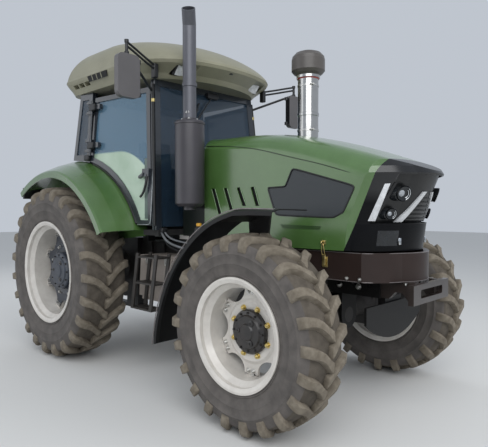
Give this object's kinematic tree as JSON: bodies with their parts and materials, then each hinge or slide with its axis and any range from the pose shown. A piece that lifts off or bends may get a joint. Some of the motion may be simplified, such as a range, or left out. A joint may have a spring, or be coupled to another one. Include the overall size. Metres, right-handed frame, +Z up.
{
  "type": "farm tractor",
  "caption": "Farm tractor with enclosed cab, tilting hood, steered driven front axle and rear implement linkage.",
  "frame": {"origin": "middle of the tractor at floor level", "axes": "+X forward, +Y to the left, +Z up"},
  "size_m": [4.7328, 2.37, 3.1847],
  "materials": {
    "green_paint": "gloss",
    "black_paint": "satin",
    "cast": "matt",
    "silver_paint": "satin",
    "tyre": "matt",
    "black_plastic": "matt",
    "gloss_black": "gloss",
    "mesh": "matt",
    "glass": "gloss",
    "lens": "gloss",
    "stainless": "brushed",
    "muffler": "matt",
    "cloth": "matt",
    "roof": "satin"
  },
  "bodies": {
    "chassis": {"battery_box": "black_plastic", "cab_floor": "black_paint", "cab_front_frame": "black_paint", "cab_rear_frame": "black_paint", "cab_windows": "glass", "cowl": "black_paint", "dashboard": "black_plastic", "drawbar": "black_paint", "engine": "cast", "exhaust": "muffler", "front_axle": "cast", "front_frame": "black_paint", "fuel_tank": "black_plastic", "mirrors": "black_plastic", "radiator": "cast", "rear_fender_left": "green_paint", "rear_fender_right": "green_paint", "roof": "roof", "seat_base": "black_paint", "seat_cushions": "cloth", "side_console": "black_plastic", "steps": "black_paint", "tow_bracket": "black_paint", "transmission": "cast"},
    "front_left_knuckle": {"knuckle_left": "cast", "front_fender_left": "black_plastic"},
    "front_right_knuckle": {"knuckle_right": "cast", "front_fender_right": "black_plastic"},
    "steering_link": {"tie_rod": "black_paint"},
    "driver_wheel": {"steering_wheel": "black_plastic"},
    "hood": {"hood_mesh_panels": "mesh", "hood_nose": "gloss_black", "hood_shell": "green_paint", "hood_trim": "silver_paint", "grille": "mesh", "pre_cleaner": "stainless", "headlamps": "lens"},
    "left_door": {"door_left": "black_paint", "door_glass_left": "glass"},
    "right_door": {"door_right": "black_paint", "door_glass_right": "glass"},
    "hitch_links": {"lower_links": "black_paint"},
    "hitch_arms": {"lift_arms": "black_paint"},
    "hitch_rods": {"lift_rods": "black_paint"},
    "upper_link": {"top_link": "black_paint"},
    "front_left_wheel": {"front_wheel_tyre_left": "tyre", "front_wheel_rim_left": "silver_paint", "front_wheel_hub_left": "cast"},
    "front_right_wheel": {"front_wheel_tyre_right": "tyre", "front_wheel_rim_right": "silver_paint", "front_wheel_hub_right": "cast"},
    "rear_left_wheel": {"rear_wheel_tyre_left": "tyre", "rear_wheel_rim_left": "silver_paint", "rear_wheel_hub_left": "cast"},
    "rear_right_wheel": {"rear_wheel_tyre_right": "tyre", "rear_wheel_rim_right": "silver_paint", "rear_wheel_hub_right": "cast"}
  },
  "joints": [
    {"name": "steer_left", "type": "hinge", "parent": "chassis", "child": "front_left_knuckle", "pos_m": [1.4825, 0.7, 0.665], "axis": [0, 0, 1], "range_deg": [-30, 30]},
    {"name": "steer_right", "type": "hinge", "parent": "chassis", "child": "front_right_knuckle", "pos_m": [1.4825, -0.7, 0.665], "axis": [0, 0, 1], "range_deg": [-30, 30]},
    {"name": "tie_rod_turn", "type": "hinge", "parent": "front_left_knuckle", "child": "steering_link", "pos_m": [1.2225, 0.7, 0.6], "axis": [0, 0, 1], "range_deg": [-30, 30]},
    {"name": "steering_wheel_turn", "type": "hinge", "parent": "chassis", "child": "driver_wheel", "pos_m": [-0.1925, 0, 1.85], "axis": [-0.5736, 0, 0.8192], "range_deg": [-420, 420]},
    {"name": "front_left_wheel_roll", "type": "hinge", "parent": "front_left_knuckle", "child": "front_left_wheel", "pos_m": [1.4825, 0.93, 0.665], "axis": [0, 1, 0], "continuous": true},
    {"name": "rear_left_wheel_roll", "type": "hinge", "parent": "chassis", "child": "rear_left_wheel", "pos_m": [-1.1675, 0.91, 0.855], "axis": [0, 1, 0], "continuous": true},
    {"name": "front_right_wheel_roll", "type": "hinge", "parent": "front_right_knuckle", "child": "front_right_wheel", "pos_m": [1.4825, -0.93, 0.665], "axis": [0, 1, 0], "continuous": true},
    {"name": "rear_right_wheel_roll", "type": "hinge", "parent": "chassis", "child": "rear_right_wheel", "pos_m": [-1.1675, -0.91, 0.855], "axis": [0, 1, 0], "continuous": true},
    {"name": "hood_tilt", "type": "hinge", "parent": "chassis", "child": "hood", "pos_m": [0.4505, 0, 2.062], "axis": [0, -1, 0], "range_deg": [0, 40]},
    {"name": "door_left_swing", "type": "hinge", "parent": "chassis", "child": "left_door", "pos_m": [-0.84505, 0.79287, 2.3], "axis": [-0.0076, -0.0645, 0.9979], "range_deg": [0, 75]},
    {"name": "door_right_swing", "type": "hinge", "parent": "chassis", "child": "right_door", "pos_m": [-0.84505, -0.79287, 2.3], "axis": [0.0076, -0.0645, -0.9979], "range_deg": [0, 75]},
    {"name": "hitch_lift", "type": "hinge", "parent": "chassis", "child": "hitch_links", "pos_m": [-1.4025, 0, 0.48], "axis": [0, 1, 0], "range_deg": [0, 34]},
    {"name": "lift_arm_turn", "type": "hinge", "parent": "chassis", "child": "hitch_arms", "pos_m": [-1.3325, 0, 1.115], "axis": [0, 1, 0], "range_deg": [0, 34]},
    {"name": "lift_rod_turn", "type": "hinge", "parent": "hitch_arms", "child": "hitch_rods", "pos_m": [-1.7534, 0, 1.0874], "axis": [0, 1, 0], "range_deg": [-34, 0]},
    {"name": "top_link_swing", "type": "hinge", "parent": "chassis", "child": "upper_link", "pos_m": [-1.4675, 0, 0.905], "axis": [0, 1, 0], "range_deg": [-20, 40]}
  ],
  "couplings": [
    {"joint": "steer_right", "follows": "steer_left", "ratio": 1},
    {"joint": "tie_rod_turn", "follows": "steer_left", "ratio": -1},
    {"joint": "steering_wheel_turn", "follows": "steer_left", "ratio": 14},
    {"joint": "lift_arm_turn", "follows": "hitch_lift", "ratio": 1},
    {"joint": "lift_rod_turn", "follows": "hitch_lift", "ratio": -1}
  ]
}
